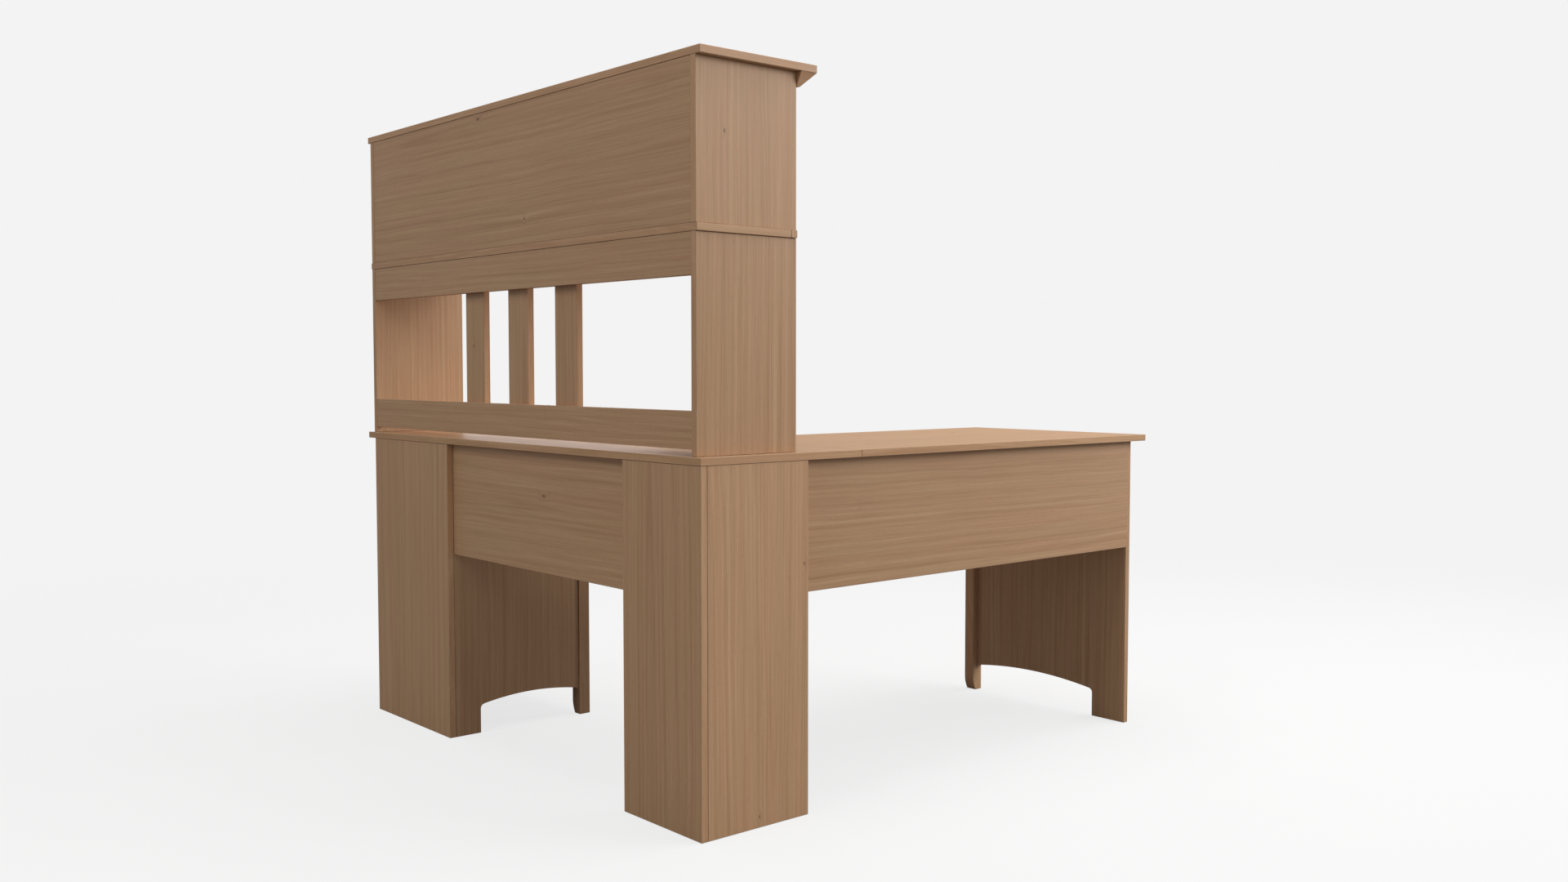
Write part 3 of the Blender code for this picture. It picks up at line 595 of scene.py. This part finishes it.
# sizes and places of the fixings, metres
PLATE_SCREW_R = 0.0040
PLATE_SCREW_OUT = 0.0095                  # either side of the plate's middle line
PLATE_SCREW_ROWS = (-0.035, -0.013, 0.013, 0.035)
HANDLE_SCREW_R = 0.0043
HANDLE_SCREW_IN = 0.005                   # from the handle's ends
KNOB_SCREW_R = 0.0040
CAM_CAP = (0.0085, 0.0014)                # radius and height
CAM_INSET = 0.034                         # cap centre from the board that its cam grips
TOP_CAM_REAR = 0.030                      # top's rear caps from the back panel
SHELF_CAM_FRONT = 0.0555                  # shelf's caps from the side boards' front and rear edges
SHELF_CAM_REAR = 0.0525
MODESTY_CAM_CORNER = 0.060                # modesty caps from the desk's corner
MODESTY_CAM_EDGE = 0.040                  # and from the panel's upper and lower edges
CATCH_FROM_DIVIDER = 0.055
CATCH_HALF = 0.020
CATCH_DEPTHS = (0.0012, 0.0150)           # behind the closed door's inner face
CATCH_DROP = 0.013                        # catch reaches this far below the door's top
CATCH_SEAT = 0.0004                       # clearance above the catch
POLE_OUT = 0.0085
POLE_HALF = 0.0014
POLE_DEPTHS = (0.0008, 0.0040)
POLE_HEIGHTS = (0.0022, 0.0105)           # above the catch's lower face
STRIKE_HALF = 0.018
STRIKE_DEPTHS = (0.00005, 0.00065)
STRIKE_DROPS = (0.0125, 0.0015)           # below the door's top
PAD = (0.0045, 0.0011)                    # radius and height
PAD_IN = 0.060
PAD_UP = 0.020
DOWN = (0, 0, -1)
TO_BACK = (0, 1, 0)
TO_USER = (0, -1, 0)
TO_PEDESTAL = (1, 0, 0)


def screws(name, body, facing, spots, radius):
    piece(name, body, ZINC, lambda work: [screw_head(work, seat(facing, spot), radius) for spot in spots])


def cam_caps(name, facing, spots):
    piece(name, "carcass", CAP_PLASTIC,
          lambda work: [domed_cap(work, seat(facing, spot), *CAM_CAP) for spot in spots])


def add_screws():
    for number in (1, 2):
        low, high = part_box(f"desktop_joint_plate_{number}")
        centre = (low + high) / 2
        spots = [(centre.x + side * PLATE_SCREW_OUT, centre.y + row, low.z)
                 for side in (-1, 1) for row in PLATE_SCREW_ROWS]
        screws(f"joint_plate_{number}_screws", "carcass", DOWN, spots, PLATE_SCREW_R)
    for level in ("upper", "lower"):
        low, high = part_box(f"{level}_drawer_handle")
        inner_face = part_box(f"{level}_drawer_front")[1].y
        spots = [(x, inner_face, (low.z + high.z) / 2)
                 for x in (low.x + HANDLE_SCREW_IN, high.x - HANDLE_SCREW_IN)]
        screws(f"{level}_drawer_handle_screws", f"{level}_drawer", TO_BACK, spots, HANDLE_SCREW_R)
    for side in ("corner", "outer"):
        low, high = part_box(f"hutch_{side}_door_knob")
        centre = (low + high) / 2
        inner_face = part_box(f"hutch_{side}_door")[1].y
        screws(f"hutch_{side}_knob_screw", f"{side}_door", TO_BACK,
               [(centre.x, inner_face, centre.z)], KNOB_SCREW_R)


def add_cam_caps():
    corner_low, corner_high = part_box("hutch_corner_side_lower")
    left = corner_high.x + CAM_INSET
    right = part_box("hutch_outer_side_lower")[0].x - CAM_INSET
    shelf_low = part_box("hutch_shelf")[0].z
    cam_caps("hutch_shelf_cam_caps", DOWN,
             [(x, y, shelf_low) for x in (left, right)
              for y in (corner_low.y + SHELF_CAM_FRONT, corner_high.y - SHELF_CAM_REAR)])
    top_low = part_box("hutch_top")[0].z
    front_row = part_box("hutch_frieze_rail")[1].y + CAM_INSET
    rear_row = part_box("hutch_back_panel")[0].y - TOP_CAM_REAR
    beside = [left]
    for number in (1, 2):
        low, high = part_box(f"hutch_divider_{number}")
        beside += [low.x - CAM_INSET, high.x + CAM_INSET]
    beside.append(right)
    cam_caps("hutch_top_cam_caps", DOWN, [(x, y, top_low) for y in (front_row, rear_row) for x in beside])
    low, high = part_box("main_modesty")
    heights = (low.z + MODESTY_CAM_EDGE, high.z - MODESTY_CAM_EDGE)
    cam_caps("main_modesty_cam_caps", TO_USER,
             [(x, low.y, z) for x in (low.x + MODESTY_CAM_CORNER, high.x - CAM_INSET) for z in heights])
    low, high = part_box("return_modesty")
    cam_caps("return_modesty_cam_caps", TO_PEDESTAL,
             [(high.x, y, z) for y in (low.y + CAM_INSET, high.y - MODESTY_CAM_CORNER) for z in heights])


def add_catch(side, x):
    """Magnetic catch under the frieze, with the strike plate and soft pads on its door."""
    door_low, door_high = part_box(f"hutch_{side}_door")
    frieze_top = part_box("hutch_frieze_rail")[1].z
    rear = door_high.y
    top = door_high.z
    foot = top - CATCH_DROP

    def body(work):
        rounded_block(work, (x - CATCH_HALF, rear + CATCH_DEPTHS[0], foot),
                      (x + CATCH_HALF, rear + CATCH_DEPTHS[1], frieze_top - CATCH_SEAT), 0.0015)

    def poles(work):
        for centre in (x - POLE_OUT, x + POLE_OUT):
            rounded_block(work, (centre - POLE_HALF, rear + POLE_DEPTHS[0], foot + POLE_HEIGHTS[0]),
                          (centre + POLE_HALF, rear + POLE_DEPTHS[1], foot + POLE_HEIGHTS[1]), 0.0003)

    def strike(work):
        rounded_block(work, (x - STRIKE_HALF, rear + STRIKE_DEPTHS[0], top - STRIKE_DROPS[0]),
                      (x + STRIKE_HALF, rear + STRIKE_DEPTHS[1], top - STRIKE_DROPS[1]), 0.00025)

    piece(f"hutch_{side}_catch_body", "carcass", CATCH_PLASTIC, body)
    piece(f"hutch_{side}_catch_poles", "carcass", ZINC, poles)
    piece(f"hutch_{side}_strike_plate", f"{side}_door", ZINC, strike)
    spots = [(pad_x, rear, door_low.z + PAD_UP) for pad_x in (door_low.x + PAD_IN, door_high.x - PAD_IN)]
    piece(f"hutch_{side}_door_pads", f"{side}_door", FELT,
          lambda work: [soft_dot(work, seat(TO_BACK, spot), *PAD) for spot in spots])


def add_fixings():
    add_screws()
    add_cam_caps()
    add_catch("corner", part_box("hutch_divider_1")[0].x - CATCH_FROM_DIVIDER)
    add_catch("outer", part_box("hutch_divider_2")[1].x + CATCH_FROM_DIVIDER)


add_fixings()


# ---------------------------------------------------------------- studio
BACKDROP = 0.896                          # tone that the camera sees behind the desk
FILL = 0.41                               # soft light from all round
FLOOR_REACH = 60.0
FLOOR_DROP = 0.0005                       # floor's clearance under the feet
FLOOR_TONE = 0.95
FLOOR_BOUNCE = 0.22                       # what the floor throws back on the desk
SHADOW_SHARE = 0.16                       # how much of the floor's own shading shows beside the desk
SHADOW_REACH = (1.2, 4.5)                 # where it starts and ends its fade, metres from the middle
# camera solved from the photograph: place in metres, direction, and focal length in millimetres
EYE = (-2.90075, 2.38817, 0.93574)
GAZE = (0.754847, -0.653801, -0.052437)
LENS = 32.2435


def studio_world():
    """Soft fill light, with a plain pale backdrop for the camera."""
    world = bpy.data.worlds.new("studio")
    bpy.context.scene.world = world
    world.use_nodes = True
    net = Net(world.node_tree)
    world.node_tree.nodes.clear()
    seen = net.add("ShaderNodeBackground", Color=(BACKDROP, BACKDROP, BACKDROP, 1.0), Strength=1.0)
    fill = net.add("ShaderNodeBackground", Color=(1.0, 1.0, 1.0, 1.0), Strength=FILL)
    rays = net.add("ShaderNodeLightPath")
    both = net.tree.nodes.new("ShaderNodeMixShader")
    net.feed(both.inputs[0], rays.outputs["Is Camera Ray"])
    net.feed(both.inputs[1], fill.outputs[0])
    net.feed(both.inputs[2], seen.outputs[0])
    end = net.tree.nodes.new("ShaderNodeOutputWorld")
    net.feed(end.inputs[0], both.outputs[0])


def studio_floor():
    """Wide pale floor with a faint mottle, which fades into the backdrop's tone."""
    work = bmesh.new()
    bmesh.ops.create_grid(work, x_segments=8, y_segments=8, size=FLOOR_REACH)
    mesh = bpy.data.meshes.new("studio_floor")
    work.to_mesh(mesh)
    work.free()
    floor = bpy.data.objects.new("studio_floor", mesh)
    bpy.context.scene.collection.objects.link(floor)
    floor.location.z = -FLOOR_DROP
    mat = bpy.data.materials.new("studio_floor")
    mat.use_nodes = True
    net = Net(mat.node_tree)
    mat.node_tree.nodes.clear()
    spot = net.add("ShaderNodeTexCoord").outputs["Object"]
    mottle = net.noise(spot, 3.0, 3.0, 0.5)
    darker = (FLOOR_TONE * 0.99,) * 3 + (1.0,)
    paler = (FLOOR_TONE * 1.01,) * 3 + (1.0,)
    tone = net.mix(net.remap(mottle, 0.3, 0.7), darker, paler)
    near = net.add("ShaderNodeBsdfDiffuse", Color=tone)
    glow = net.add("ShaderNodeEmission", Color=(BACKDROP, BACKDROP, BACKDROP, 1.0), Strength=1.0)
    dim = net.add("ShaderNodeBsdfDiffuse", Color=(FLOOR_BOUNCE, FLOOR_BOUNCE, FLOOR_BOUNCE, 1.0))
    away = net.vec("LENGTH", spot, out=1)
    share = net.remap(away, *SHADOW_REACH, SHADOW_SHARE, 0.0)
    shown = net.tree.nodes.new("ShaderNodeMixShader")
    net.feed(shown.inputs[0], share)
    net.feed(shown.inputs[1], glow.outputs[0])
    net.feed(shown.inputs[2], near.outputs[0])
    rays = net.add("ShaderNodeLightPath")
    both = net.tree.nodes.new("ShaderNodeMixShader")
    net.feed(both.inputs[0], rays.outputs["Is Camera Ray"])
    net.feed(both.inputs[1], dim.outputs[0])
    net.feed(both.inputs[2], shown.outputs[0])
    end = net.tree.nodes.new("ShaderNodeOutputMaterial")
    net.feed(end.inputs[0], both.outputs[0])
    mesh.materials.append(mat)


def softbox(name, place, aim, width, height, watts):
    data = bpy.data.lights.new(name, "AREA")
    data.shape = "RECTANGLE"
    data.size = width
    data.size_y = height
    data.energy = watts
    lamp = bpy.data.objects.new(name, data)
    lamp.location = place
    lamp.rotation_euler = (Vector(aim) - Vector(place)).to_track_quat("-Z", "Y").to_euler()
    lamp.visible_camera = False
    bpy.context.scene.collection.objects.link(lamp)


def studio_camera():
    data = bpy.data.cameras.new("view")
    data.lens = LENS
    data.sensor_width = 36.0
    data.clip_end = 200.0
    eye = bpy.data.objects.new("view", data)
    eye.location = EYE
    eye.rotation_euler = Vector(GAZE).to_track_quat("-Z", "Y").to_euler()
    bpy.context.scene.collection.objects.link(eye)
    bpy.context.scene.camera = eye


studio_world()
studio_floor()
# watts fitted to the photograph's brightness
softbox("overhead", (-0.3, 0.0, 4.3), (0.0, 0.0, 0.8), 2.4, 2.4, 76.0)
softbox("key", (-4.2, -2.6, 3.4), (-0.1, 0.2, 0.8), 2.6, 2.6, 110.0)
softbox("key_high", (-2.4, -1.8, 4.2), (-0.1, 0.2, 0.8), 1.8, 1.8, 18.6)
softbox("rear_high", (-0.6, 4.2, 4.6), (0.0, 0.6, 0.8), 2.5, 2.5, 61.5)
softbox("front", (-1.8, -4.8, 2.2), (0.0, 0.3, 0.8), 2.6, 2.0, 103.0)
softbox("far_kicker", (4.2, -1.3, 1.15), (0.2, 0.6, 0.8), 2.4, 0.8, 14.0)
studio_camera()
bpy.context.scene.view_settings.view_transform = "Standard"
bpy.context.scene.view_settings.look = "None"
